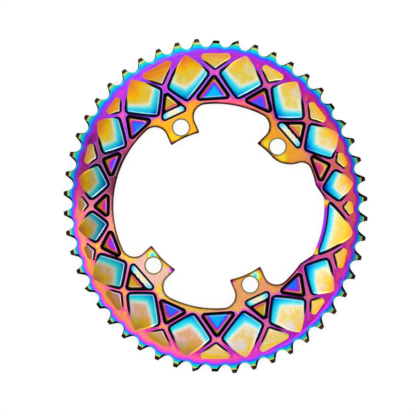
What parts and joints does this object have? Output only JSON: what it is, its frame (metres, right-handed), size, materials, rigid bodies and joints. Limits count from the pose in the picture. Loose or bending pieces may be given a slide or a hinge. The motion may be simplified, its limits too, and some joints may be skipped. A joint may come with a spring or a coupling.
{
  "type": "bicycle chainring",
  "caption": "Oval outer chainring with a toothed rim, a front face pocketed in a lattice of diamonds and triangles, bolt tabs, a relief for the crank arm and a rainbow finish.",
  "frame": {"origin": "centre of the bolt circle, in the plane of the back face that meets the crank spider", "axes": "+Z out of the front face, +X along the crank arm when it is fitted, so that the ring lies flat on its back"},
  "size_m": [0.1968, 0.214, 0.004],
  "materials": {
    "ring": "satin machined aluminium alloy under a thin rainbow film, from blue and purple at the rim to gold and orange at the tabs",
    "pin": "plain turned steel"
  },
  "bodies": {
    "root": {"chainring": "ring", "shift_pin_1": "pin", "shift_pin_2": "pin", "shift_pin_3": "pin", "shift_pin_4": "pin"}
  },
  "joints": []
}
